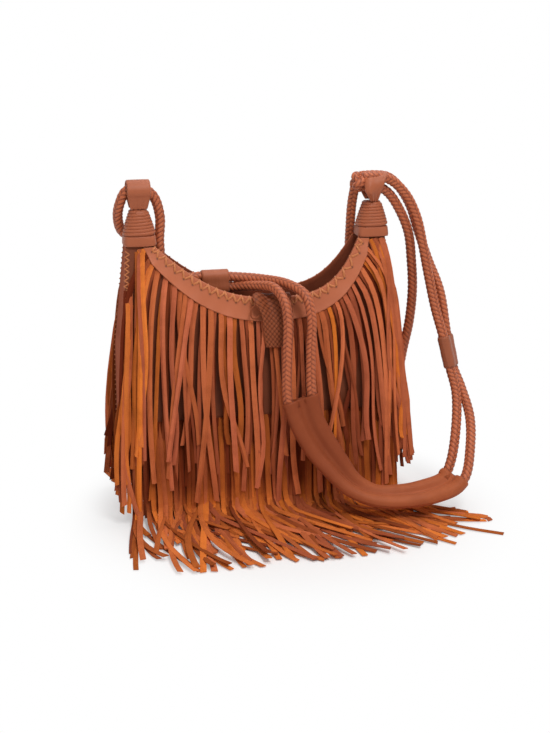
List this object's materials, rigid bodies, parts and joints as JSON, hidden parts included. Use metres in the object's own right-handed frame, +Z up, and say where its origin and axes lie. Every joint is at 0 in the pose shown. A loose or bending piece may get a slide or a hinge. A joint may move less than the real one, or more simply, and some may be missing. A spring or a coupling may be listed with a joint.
{
  "type": "fringed suede shoulder bag",
  "caption": "Crescent suede shoulder bag with laced horns, leather loops, doubled braided strap, sleeve pad and long cut fringe splaying over the floor",
  "frame": {"origin": "centre of the flat base that the bag stands on", "axes": "+X along the width towards the knotted horn, +Y from the front to the back, +Z up"},
  "size_m": [0.4175, 0.3382, 0.3956],
  "materials": {
    "suede": "matt napped suede, tan",
    "orange_suede": "matt cut suede strips, lighter orange tan",
    "smooth_leather": "smooth soft leather with a low sheen",
    "braided_leather": "round braid of narrow leather laces"
  },
  "bodies": {
    "root": {"front_panel": "suede", "back_panel": "suede", "gusset": "suede", "front_rim_band": "smooth_leather", "back_rim_band": "smooth_leather", "front_upper_fringe": "suede", "back_upper_fringe": "suede", "front_lower_fringe": "orange_suede", "back_lower_fringe": "orange_suede", "left_horn_cuff": "smooth_leather", "left_lace_wrap": "smooth_leather", "left_horn_loop": "smooth_leather", "right_horn_cuff": "smooth_leather", "right_lace_wrap": "smooth_leather", "right_horn_loop": "smooth_leather", "closure_tab": "suede", "strap_cord": "braided_leather", "strap_tail_back": "braided_leather", "strap_tail_side": "braided_leather", "strap_knot": "braided_leather", "left_keeper": "smooth_leather", "right_keeper": "smooth_leather", "shoulder_pad": "smooth_leather"}
  },
  "joints": []
}
